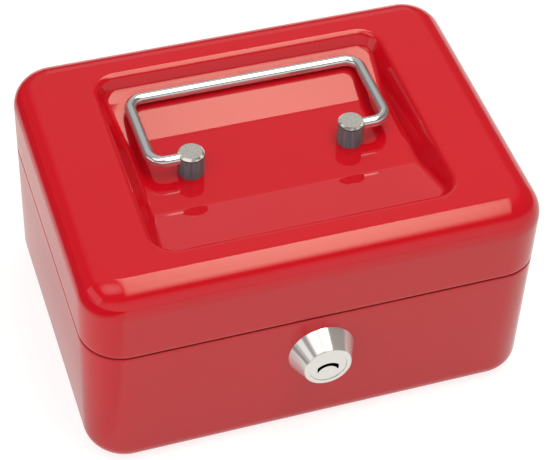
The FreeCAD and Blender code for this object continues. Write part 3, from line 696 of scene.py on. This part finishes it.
@dataclass
class Shells:
    """What the base and the lid share, in millimetres.

    Attributes:
        outline: Half width, half depth and corner radius over the walls.
        gauge: Thickness of the sheet.
        ease: Distance from a bend to the next row.
        gap_level: Height at which the hinge gap starts.
        small_turns: Angles, in degrees, of the rows of a small round.
        edge_marks: How much of an edge each of the last rows is.
        columns: Places round the outline.
    """

    outline: Triple = (76.0, 57.0, 14.0)
    gauge: float = 0.8
    ease: float = 0.3
    gap_level: float = 0.0
    small_turns: tuple[float, ...] = (30.0, 60.0, 90.0)
    edge_marks: tuple[float, ...] = ()
    columns: Columns = field(default_factory=Columns)

    def sweep(self, *runs: tuple[Triple | Array, Array | float, Array | float]) -> Array:
        """Carry a section round the outline, run by run from the middle outwards.

        A point is the column's share of the straight half-lengths plus the corner radius along its direction.

        Args:
            runs: Outline, inset from it and height of the rows of each run.

        Returns:
            Points, by row, column and axis.
        """
        sections: list[Array] = []
        for outline, inset, level in runs:
            inset, level = np.broadcast_arrays(inset, level)
            sections.append(np.column_stack([outline - inset[:, None], level]))
        rows = np.concatenate(sections)
        radius = rows[:, 2, None, None]
        flat = (rows[:, None, :2] - radius) * self.columns.straight + radius * self.columns.corner
        height = np.broadcast_to(rows[:, 3, None, None], (*flat.shape[:2], 1))
        return np.concatenate([flat, height], 2)

    def across(self, ring: Array) -> Array:
        """Inner points of the lattice, on straight lines from the left to the right of a ring.

        Args:
            ring: Points round the middle, by column and axis.

        Returns:
            Points, one row each.
        """
        lattice = self.columns.lattice()
        share = np.linspace(0.0, 1.0, lattice.shape[1])[None, :, None]
        filled = (1 - share) * ring[lattice[:, :1]] + share * ring[lattice[:, -1:]]
        return filled[lattice < 0]

    def sheet(self, name: str, sides: list[Array], middle: list[Array]) -> Piece:
        """Make a shell from its two sides, open at the hinge gap.

        Args:
            name: The piece's name.
            sides: Upper and lower points, by row, column and axis.
            middle: Inner points of the lattice on the upper and on the lower side.

        Returns:
            The piece.
        """
        levels = sides[0][:, 0, 2]
        gap_row = int(np.argmin(abs(levels - self.gap_level)))
        kept = np.ones((len(levels) - 1, len(self.columns.straight)), bool)
        kept[gap_row:] &= ~self.columns.in_notch()
        edge = np.zeros(len(levels))
        edge[-len(self.edge_marks):] = self.edge_marks
        return ThickSheet(name, *sides, kept, edge, self.columns.lattice(), middle).build()


@dataclass
class BaseShell(Shells):
    """Drawn base with a rounded foot and a rim that steps in under the lid.

    Attributes:
        foot: Radius between the floor and the wall.
        bend_points: Points along that radius.
        wall_levels: Heights of the wall's middle rows.
        shoulder: Height at which the wall turns in.
        step_in: Distance of the rim from the wall.
        rim_start: Distance from the shoulder to the rim's next row.
        rim_top: Height of the rim.
        round: Radius of the shoulder's edge.
    """

    gap_level: float = 50.71
    edge_marks: tuple[float, ...] = (0.4, 1.0, 0.6, 0.2, 0.2, 1.0)
    foot: float = 7.0
    bend_points: int = 13
    wall_levels: tuple[float, ...] = (20.0, 40.0)
    shoulder: float = 52.3
    step_in: float = 2.3
    rim_start: float = 1.0
    rim_top: float = 57.6
    round: float = 0.45

    def build(self) -> Piece:
        """Sweep the base's section round the outline.

        The section runs along the floor, through a quarter turn of the foot radius, up the wall,
        over a small round onto the shoulder and up the rim.

        Returns:
            The piece, riding on the base in place of its plain solid.
        """
        sides: list[Array] = []
        turn = np.radians(np.linspace(0.0, 90.0, self.bend_points))
        small = np.radians(self.small_turns)
        low = self.foot + self.ease
        for lift in (self.gauge, 0.0):
            bend = self.foot - lift
            shoulder = self.shoulder - lift
            wall = np.array([low, *self.wall_levels, self.gap_level, shoulder - self.round])
            rim = np.array([shoulder, self.shoulder + self.rim_start, self.rim_top])
            turn_in = lift + self.round * (1 - np.cos(small))
            sides.append(self.sweep(
                (self.outline, np.array([low]), lift),
                (self.outline, self.foot - bend * np.sin(turn), self.foot - bend * np.cos(turn)),
                (self.outline, lift, wall),
                (self.outline, turn_in, shoulder - self.round * (1 - np.sin(small))),
                (self.outline, lift + self.step_in, rim)))
        middle = [self.across(side[0]) for side in sides]
        return attach(self.sheet("base_skin", sides, middle), RED, Body.BASE, "base_shell")


@dataclass
class LidShell(Shells):
    """Drawn lid with a broad edge radius and a handle recess, whose floor rises to the front and the back.

    Attributes:
        top: Height of the flat top.
        top_shares: Places of the flat top's rows, from the mouth outwards.
        edge_radius: Radius between the top and the wall.
        edge_points: Points along that radius.
        wall_level: Height of the wall's middle row.
        lower_edge: Height of the lid's open edge.
        mouth: Half width, half depth and corner radius of the recess's mouth.
        sink: Depth of the recess.
        slope: Angle of the recess's wall from the upright, in degrees.
        lip: Radius between the top and that wall.
        floor_round: Radius between that wall and the recess's floor.
        recess_points: Points along each of these two radii.
        fold: Distance from the middle to the foot of each ramp.
        fold_round: Radius at the foot of each ramp.
        ramp: Slope of the ramps in degrees.
        round: Radius of the open edge.
    """

    gap_level: float = 54.49
    edge_marks: tuple[float, ...] = (0.3, 0.7, 1.0, 0.8)
    top: float = 80.0
    top_shares: tuple[float, ...] = (0.03, 0.5, 0.97)
    edge_radius: float = 10.0
    edge_points: int = 17
    wall_level: float = 62.0
    lower_edge: float = 52.9
    mouth: Triple = (52.0, 42.8, 10.0)
    sink: float = 9.6
    slope: float = 28.0
    lip: float = 3.0
    floor_round: float = 2.5
    recess_points: int = 9
    fold: float = 16.3
    fold_round: float = 10.0
    ramp: float = 12.0
    round: float = 0.4

    def trough(self, place: Array) -> tuple[Array, Array]:
        """Height and slope of the recess floor.

        It is flat, then an arc of the fold radius, then a straight ramp, both ways.

        Args:
            place: Distances from the middle towards the front or the back.

        Returns:
            Heights and slopes, the slopes rising outwards.
        """
        ramp = math.radians(self.ramp)
        start = self.fold - self.fold_round * math.tan(ramp / 2)
        past = np.clip(abs(place) - start, 0.0, self.fold_round * math.sin(ramp))
        drop = np.sqrt(self.fold_round ** 2 - past ** 2)
        beyond = np.maximum(abs(place) - start - self.fold_round * math.sin(ramp), 0.0)
        height = self.top - self.sink + self.fold_round - drop + beyond * math.tan(ramp)
        return height, past / drop

    def floor_rows(self) -> list[Array]:
        """Points of the round between the recess floor and its wall, on both sides of the sheet.

        In each column's own upright plane a floor line and the wall line meet, and an arc touches both.

        Returns:
            Upper and lower points, by row, column and axis.
        """
        wall = math.radians(90.0 - self.slope)
        columns = self.columns
        *halves, radius = self.mouth
        mouth = (np.array(halves) - radius) * columns.straight + radius * columns.corner
        height, slope = self.trough(mouth[:, 1])
        fall = slope * abs(columns.corner[:, 1])
        rise = math.tan(wall)
        sharp = self.lip * math.tan(wall / 2)
        meet = (self.top - height + sharp * rise) / (rise - fall)
        lean = np.arctan(fall)
        run = self.floor_round * np.tan((wall - lean) / 2)
        centre_in = meet + run * np.cos(lean) + self.floor_round * np.sin(lean)
        centre_up = height - fall * meet - run * np.sin(lean) + self.floor_round * np.cos(lean)
        turn = lean + np.linspace(0.0, 1.0, self.recess_points)[:, None] * (wall - lean)
        sides: list[Array] = []
        for bend in (self.floor_round, self.floor_round + self.gauge):
            inset = centre_in - bend * np.sin(turn)
            flat = mouth - inset[:, :, None] * columns.corner
            sides.append(np.dstack([flat, centre_up - bend * np.cos(turn)]))
        return sides

    def build(self) -> Piece:
        """Sweep the lid's section round the outline.

        The section runs along the recess floor, through the floor round, up the sloped wall, over the lip,
        along the flat top, through a quarter turn of the edge radius and down the wall to a small round.
        Each lower row lies one sheet gauge behind the upper one along its normal.

        Returns:
            The piece, riding on the lid in place of its plain solid.
        """
        sides: list[Array] = []
        turn = np.linspace(math.radians(90.0 - self.slope), 0.0, self.recess_points)
        out = np.linspace(0.0, math.pi / 2, self.edge_points)
        small = np.radians(self.small_turns)
        share = np.array(self.top_shares)[:, None]
        flat = (1 - share) * self.mouth + share * (np.array(self.outline) - self.edge_radius)
        wall_top = self.top - self.edge_radius
        wall = np.array([wall_top - self.ease, self.wall_level, self.gap_level, self.lower_edge + self.round])
        for rows, back, inward in zip(self.floor_rows(), (0.0, self.gauge), (1.0, -1.0)):
            lip = self.lip - back
            edge = self.edge_radius - back
            turn_in = back + inward * self.round * (1 - np.cos(small))
            swept = self.sweep(
                (self.mouth, lip * np.sin(turn), self.top - self.lip + lip * np.cos(turn)),
                (flat, 0.0, np.full(len(flat), self.top - back)),
                (self.outline, self.edge_radius - edge * np.sin(out), wall_top + edge * np.cos(out)),
                (self.outline, back, wall),
                (self.outline, turn_in, self.lower_edge + self.round * (1 - np.sin(small))))
            sides.append(np.concatenate([rows, swept]))
        inside = self.across(sides[0][0])
        inside[:, 2], slope = self.trough(inside[:, 1])
        normal = np.stack([np.zeros(len(slope)), -np.sign(inside[:, 1]) * slope, np.ones(len(slope))], 1)
        behind = inside - self.gauge * normal / np.linalg.norm(normal, axis=1, keepdims=True)
        return attach(self.sheet("lid_skin", sides, [inside, behind]), RED, Body.LID, "lid_shell")


@dataclass
class CarryHandle:
    """Folding handle of one bent wire, in millimetres.

    Attributes:
        wire: Diameter of the wire.
        sides: Points round it.
        end_x: Distance of its ends from the middle.
        end_length: Length of the taper at its ends.
        end_share: Share of the diameter that the ends keep.
        leg_x: Distance of the legs from the middle.
        reach: Distance of the grip from the pivot.
        bend: Radius of the bends.
        bend_points: Points along each bend.
        pivot: Height of the pivot.
        rest_fall: Angle at rest, in degrees down from the level.
    """

    wire: float = 3.8
    sides: int = 28
    end_x: float = 27.3
    end_length: float = 0.4
    end_share: float = 0.82
    leg_x: float = 40.3
    reach: float = 31.9
    bend: float = 5.0
    bend_points: int = 13
    pivot: float = 76.7
    rest_fall: float = 1.3237

    def path(self) -> Array:
        """The wire's middle line in its own plane: three runs joined by quarter turns, mirrored.

        Returns:
            Points and directions, one row each: across, along, direction across, direction along.
        """
        turn = np.radians(np.linspace(0.0, 90.0, self.bend_points))
        low_x = self.leg_x - self.bend + self.bend * np.sin(turn)
        low_y = self.bend - self.bend * np.cos(turn)
        low = np.stack([low_x, low_y, np.cos(turn), np.sin(turn)], 1)
        high_x = self.leg_x - self.bend + self.bend * np.cos(turn)
        high_y = self.reach - self.bend + self.bend * np.sin(turn)
        high = np.stack([high_x, high_y, -np.sin(turn), np.cos(turn)], 1)
        start = np.array([[place, 0.0, 1.0, 0.0] for place in (self.end_x, self.end_x + self.end_length)])
        half = np.concatenate([start, low, high])
        return np.concatenate([half, half[::-1] * np.array([-1.0, 1.0, 1.0, -1.0])])

    def build(self) -> Piece:
        """Carry a circle along the middle line and lay the plane down on the recess's back ramp.

        Returns:
            The piece, riding on the handle in place of its plain solid.
        """
        line = self.path()
        fall = math.radians(self.rest_fall)
        upright = np.array([0.0, math.sin(fall), math.cos(fall)])
        along = np.array([0.0, math.cos(fall), -math.sin(fall)])
        across = np.array([1.0, 0.0, 0.0])
        middle = line[:, :1] * across + line[:, 1:2] * along + np.array([0.0, 0.0, self.pivot])
        sideways = line[:, 3:4] * across - line[:, 2:3] * along
        angle = np.linspace(0.0, 2 * math.pi, self.sides, endpoint=False)
        circle = np.cos(angle)[None, :, None] * upright + np.sin(angle)[None, :, None] * sideways[:, None, :]
        radius = np.full((len(line), 1, 1), self.wire / 2)
        radius[[0, -1]] *= self.end_share
        points = middle[:, None, :] + radius * circle
        ends = np.concatenate([middle[:1], middle[-1:]])
        cells = Mesh.cells(len(line), self.sides).reshape(-1, 4)
        count = len(line) * self.sides
        ring = np.arange(self.sides)
        after = np.roll(ring, -1)
        first = np.stack([np.full(self.sides, count), ring, after, after], 1)
        offset = count - self.sides
        last = np.stack([np.full(self.sides, count + 1), after + offset, ring + offset, ring + offset], 1)
        faces = np.concatenate([cells, first, last])
        piece = Mesh.piece("handle_wire", np.concatenate([points.reshape(-1, 3), ends]), faces)
        return attach(piece, CHROME, Body.HANDLE, "carry_handle")


class Fittings:
    """Finishes of the CAD nodes that stay as they are."""

    FINISHES: dict[Finish, tuple[str, ...]] = {
        NICKEL: ("handle_post_left", "handle_post_right"),
        LOCK_CHROME: ("lock_housing", "lock_plug"),
        RED: ("hinge_leaf_base", "hinge_leaf_lid"),
        ZINC: ("hinge_pin", "lock_washer", "lock_nut", "lock_cam", "cam_washer", "cam_screw", "lid_strike",
               "post_washers", "post_screws"),
        PLASTIC: ("coin_tray",),
    }

    def dress(self) -> int:
        """Give each node its finish.

        Returns:
            How many nodes were dressed.
        """
        count = 0
        for finish, names in self.FINISHES.items():
            material = surface(finish)
            for name in names:
                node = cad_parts[name]
                node.data.materials.clear()
                node.data.materials.append(material)
                count += 1
        return count


MADE: dict[str, bpy.types.Material] = {}


def surface(finish: Finish) -> bpy.types.Material:
    """The material of a finish, made once.

    Args:
        finish: The finish.

    Returns:
        Its material.
    """
    if finish.name not in MADE:
        MADE[finish.name] = finish.material()
    return MADE[finish.name]


def attach(piece: Piece, finish: Finish, body: Body, *nodes: str) -> Piece:
    """Finish a new piece and let it ride in place of CAD nodes.

    Args:
        piece: The new piece.
        finish: Its finish.
        body: The body that it rides on.
        nodes: The CAD nodes that it stands for.

    Returns:
        The piece.
    """
    piece.data.materials.append(surface(finish))
    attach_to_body(piece, body.value)
    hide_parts(*nodes)
    return piece


@dataclass(frozen=True)
class Softbox:
    """A soft lamp: a lit rectangle turned to a point.

    Attributes:
        name: The lamp's name.
        place: Its middle in metres.
        aim: The point that it faces.
        size: Width and height in metres.
        radiance: Brightness of its face, 1 being white.
        across: Direction of its width.
        tint: Colour of its light.
        fade: Where its face darkens.
        front_step: Share of its height over which it brightens, if it fades to its lower edge.
        mirrored: Whether glossy surfaces show it.
    """

    name: str
    place: Triple
    aim: Triple
    size: Pair
    radiance: float
    across: Triple = (1.0, 0.0, 0.0)
    tint: Triple = (1.0, 0.97, 0.93)
    fade: Fade = Fade.NONE
    front_step: float = 0.42
    mirrored: bool = True

    def build(self) -> Piece:
        """Make the lamp.

        Returns:
            The lamp's object.
        """
        lamp = bpy.data.lights.new(self.name, "AREA")
        lamp.shape = "RECTANGLE"
        lamp.size, lamp.size_y = self.size
        lamp.energy = self.radiance * math.pi * self.size[0] * self.size[1]
        lamp.color = self.tint
        if self.fade is not Fade.NONE:
            self.darken(lamp)
        piece = placed(self.name, lamp)
        piece.visible_glossy = self.mirrored
        back = (Vector(self.place) - Vector(self.aim)).normalized()
        upward = back.cross(Vector(self.across)).normalized()
        turned = Matrix((upward.cross(back), upward, back)).transposed().to_4x4()
        piece.matrix_world = Matrix.Translation(Vector(self.place)) @ turned
        return piece

    def darken(self, lamp: bpy.types.Light) -> None:
        """Darken a lamp's face.

        The brightness is 4u(1 - u) over its width, times 4v(1 - v) or a smooth step over its height.

        Args:
            lamp: The lamp.
        """
        lamp.use_nodes = True
        nodes = Nodes(lamp.node_tree)
        face = nodes.add("ShaderNodeNewGeometry").outputs["Parametric"]
        spans = nodes.add("ShaderNodeSeparateXYZ", Vector=face).outputs
        if self.fade is Fade.EDGES:
            height = self.arch(nodes, spans["Y"])
        else:
            height = nodes.spread(spans["Y"], (0.0, self.front_step), smooth=True)
        strength = nodes.maths("MULTIPLY", self.arch(nodes, spans["X"]), height)
        nodes.feed(nodes.tree.nodes["Emission"].inputs["Strength"], strength)

    @staticmethod
    def arch(nodes: Nodes, share: Socket) -> Socket:
        """A brightness of 4u(1 - u), which is 1 in the middle and 0 at both ends.

        Args:
            nodes: The lamp's node tree.
            share: Place across the lamp's face, 0 to 1.

        Returns:
            The brightness.
        """
        rest = nodes.maths("SUBTRACT", 1.0, share)
        return nodes.maths("MULTIPLY", nodes.maths("MULTIPLY", share, rest), 4.0)


@dataclass
class Studio:
    """Pale floor, soft light and the photograph's camera.

    The floor glows by itself: floor_glow towards the camera, floor_bounce onto the object, with more of it to
    the left, and floor_mirror_glow in mirror images, which darken far to the left and, as a painted shadow,
    beside the left wall.
    The world's grey follows the product of a direction and world_lean, plus world_offset. Lengths are in
    metres and angles in degrees.
    """

    azimuth: float = -19.959
    elevation: float = 46.346
    roll: float = 3.026
    target: Triple = (0.000705, -0.005536, 0.040)
    distance: float = 0.643321
    focal_pixels: float = 1905.915
    picture_width: int = 550
    floor_reach: float = 6.0
    floor_colour: Triple = (0.36, 0.36, 0.36)
    floor_glow: Triple = (0.80, 0.80, 0.80)
    floor_bounce: Triple = (0.34, 0.34, 0.34)
    floor_bounce_left: Triple = (1.30, 1.30, 1.30)
    bounce_span: Pair = (-0.10, -0.35)
    floor_mirror_glow: Triple = (0.66, 0.65, 0.63)
    mirror_far: Pair = (-0.21, -0.13)
    mirror_far_share: float = 0.1
    mirror_shadow_beside: Pair = (-0.082, -0.074)
    mirror_shadow_beside_share: float = 0.76
    world_lean: Triple = (0.0, 0.30, 0.50)
    world_offset: float = 0.35
    world_greys: tuple[Pair, ...] = (
        (0.15, 0.90), (0.90, 0.52), (0.31, 0.74), (0.42, 0.15), (0.76, 0.16), (0.86, 0.50))
    world_blue: float = 0.98
    lamps: tuple[Softbox, ...] = (
        Softbox("back_low", place=(0.177, 0.637, 0.370), aim=(0.0, -0.028, 0.0727), size=(0.36, 0.24),
                radiance=0.34),
        Softbox("overhead", place=(0.20, -0.215, 0.86), aim=(0.20, -0.215, 0.0), size=(0.53, 1.17),
                radiance=5.1, tint=(1.0, 0.96, 0.76), fade=Fade.FRONT),
        Softbox("left_high", place=(-0.38, -0.16, 0.86), aim=(-0.38, -0.16, 0.0), size=(0.96, 0.62),
                radiance=1.9, fade=Fade.EDGES),
        Softbox("left_low", place=(-0.90, -0.10, 0.37), aim=(0.0, -0.06, 0.036), size=(0.70, 0.35),
                radiance=0.9, across=(0.0, -1.0, 0.0)),
        Softbox("left_fill", place=(-0.92, -0.71, 0.42), aim=(0.0, 0.0, 0.03), size=(1.6, 1.0),
                radiance=1.2, across=(0.61, -0.79, 0.0), fade=Fade.EDGES, mirrored=False),
        Softbox("back_fill", place=(0.30, 0.90, 0.90), aim=(0.0, 0.0, 0.07), size=(1.2, 0.8),
                radiance=1.4, fade=Fade.EDGES, mirrored=False),
    )

    def build(self) -> None:
        """Make the floor, the world, the lamps and the camera."""
        bpy.context.scene.view_settings.view_transform = "Standard"
        self.build_floor()
        self.build_world()
        for lamp in self.lamps:
            lamp.build()
        self.build_camera()

    def build_floor(self) -> None:
        """Make a white floor that keeps the object's shadow."""
        mesh = bpy.data.meshes.new("floor")
        corners = np.array([(-1, -1, 0), (1, -1, 0), (1, 1, 0), (-1, 1, 0)]) * self.floor_reach
        mesh.from_pydata(corners.tolist(), [], [(0, 1, 2, 3)])
        floor = placed("floor", mesh)
        graph = Graph("pale_floor")
        rays = graph.add("ShaderNodeLightPath").outputs
        across = graph.axis("X")
        far = graph.spread(across, self.mirror_far, (self.mirror_far_share, 1.0), smooth=True)
        # Painted shadow: mirror images of the floor darken beside the left wall.
        beside = graph.spread(across, self.mirror_shadow_beside, (self.mirror_shadow_beside_share, 1.0))
        pale = graph.maths("MULTIPLY", far, beside)
        mirrored = graph.mixed(rays["Is Glossy Ray"], (1.0, 1.0, 1.0), pale)
        left = graph.spread(across, self.bounce_span)
        bounce = graph.mixed(left, self.floor_bounce, self.floor_bounce_left)
        direct = graph.mixed(rays["Is Camera Ray"], bounce, self.floor_glow)
        lit = graph.mixed(rays["Is Glossy Ray"], direct, self.floor_mirror_glow)
        for name, colour in (("Base Color", self.floor_colour), ("Emission Color", lit)):
            graph.feed(graph.shader.inputs[name], graph.mixed(1.0, mirrored, colour, "MULTIPLY"))
        for name, value in (("Roughness", 1.0), ("Specular IOR Level", 0.0), ("Emission Strength", 1.0)):
            graph.shader.inputs[name].default_value = value
        mesh.materials.append(graph.material)

    def build_world(self) -> None:
        """Make a world that is pale low in front, dark higher up there and low behind, and grey overhead."""
        world = bpy.data.worlds.new("studio")
        bpy.context.scene.world = world
        world.use_nodes = True
        nodes = Nodes(world.node_tree)
        lean = nodes.tree.nodes.new("ShaderNodeVectorMath")
        lean.operation = "DOT_PRODUCT"
        nodes.feed(lean.inputs[0], nodes.add("ShaderNodeTexCoord").outputs["Generated"])
        nodes.feed(lean.inputs[1], self.world_lean)
        shade = nodes.maths("ADD", lean.outputs["Value"], self.world_offset)
        ramp = nodes.add("ShaderNodeValToRGB", Fac=shade)
        nodes.feed(nodes.tree.nodes["Background"].inputs["Color"], ramp.outputs["Color"])
        stops = ramp.color_ramp.elements
        for number, (place, grey) in enumerate(self.world_greys):
            stop = stops[number] if number < len(stops) else stops.new(place)
            stop.position = place
            stop.color = (grey, grey, self.world_blue * grey, 1.0)

    def build_camera(self) -> None:
        """Set the camera at the photograph's viewpoint."""
        turn, rise, lean = (math.radians(angle) for angle in (self.azimuth, self.elevation, self.roll))
        back = Vector((math.sin(turn) * math.cos(rise), -math.cos(turn) * math.cos(rise), math.sin(rise)))
        level = Vector((0.0, 0.0, 1.0)).cross(back).normalized()
        upward = back.cross(level)
        right = math.cos(lean) * level + math.sin(lean) * upward
        upward = math.cos(lean) * upward - math.sin(lean) * level
        data = bpy.data.cameras.new("camera")
        data.lens = self.focal_pixels * data.sensor_width / self.picture_width
        camera = placed("camera", data)
        turned = Matrix((right, upward, back)).transposed().to_4x4()
        camera.matrix_world = Matrix.Translation(Vector(self.target) + self.distance * back) @ turned
        bpy.context.scene.camera = camera


def main() -> None:
    """Build the pieces, dress the nodes and set the stage."""
    logging.basicConfig(level=logging.INFO, format="%(name)s: %(message)s")
    for piece in (BaseShell(), LidShell(), CarryHandle()):
        made = piece.build()
        LOG.info("%s has %d faces", made.name, len(made.data.polygons))
    LOG.info("%d nodes dressed", Fittings().dress())
    Studio().build()


if __name__ == "__main__":
    main()
